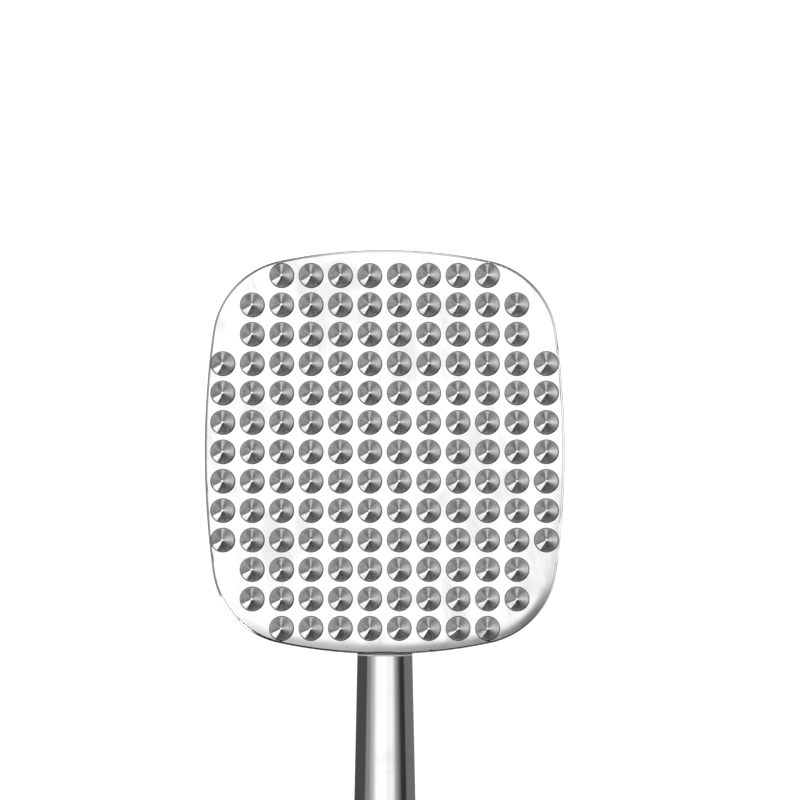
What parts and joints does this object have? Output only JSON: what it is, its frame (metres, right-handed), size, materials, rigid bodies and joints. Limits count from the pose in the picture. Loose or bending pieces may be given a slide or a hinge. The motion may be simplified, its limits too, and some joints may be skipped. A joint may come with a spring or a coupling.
{
  "type": "meat mallet",
  "caption": "Flat studded metal head on a tapered round handle, for pounding and tenderising meat; smooth back face and a hanging hole in the end.",
  "frame": {"origin": "centre of the smooth pounding face, on the underside of the head", "axes": "+Z out of the studded face, +Y from the handle towards the far end of the head, +X across the head"},
  "size_m": [0.098, 0.2909, 0.0218],
  "materials": {
    "face_steel": "mirror-polished stainless steel with faint handling marks",
    "pan_steel": "polished stainless steel, lightly scuffed on the pounding face",
    "stud_steel": "turned steel cones with fine circular tool marks",
    "handle_steel": "polished stainless steel with a faint lengthwise grain",
    "rod_steel": "plain machined steel, dark where it shows at the neck",
    "core_aluminium": "sawn and milled aluminium",
    "seal_plastic": "white sealing washer, food-safe plastic"
  },
  "bodies": {
    "root": {"anchor_screws": "rod_steel", "back_pan": "pan_steel", "end_cap": "handle_steel", "end_seal": "seal_plastic", "face_plate": "face_steel", "filler_block": "core_aluminium", "handle_tube": "handle_steel", "neck_bush": "rod_steel", "neck_collar": "rod_steel", "neck_seal": "seal_plastic", "stud_row_01": "stud_steel", "stud_row_02": "stud_steel", "stud_row_03": "stud_steel", "stud_row_04": "stud_steel", "stud_row_05": "stud_steel", "stud_row_06": "stud_steel", "stud_row_07": "stud_steel", "stud_row_08": "stud_steel", "stud_row_09": "stud_steel", "stud_row_10": "stud_steel", "stud_row_11": "stud_steel", "stud_row_12": "stud_steel", "stud_row_13": "stud_steel", "tang_rod": "rod_steel"}
  },
  "joints": []
}
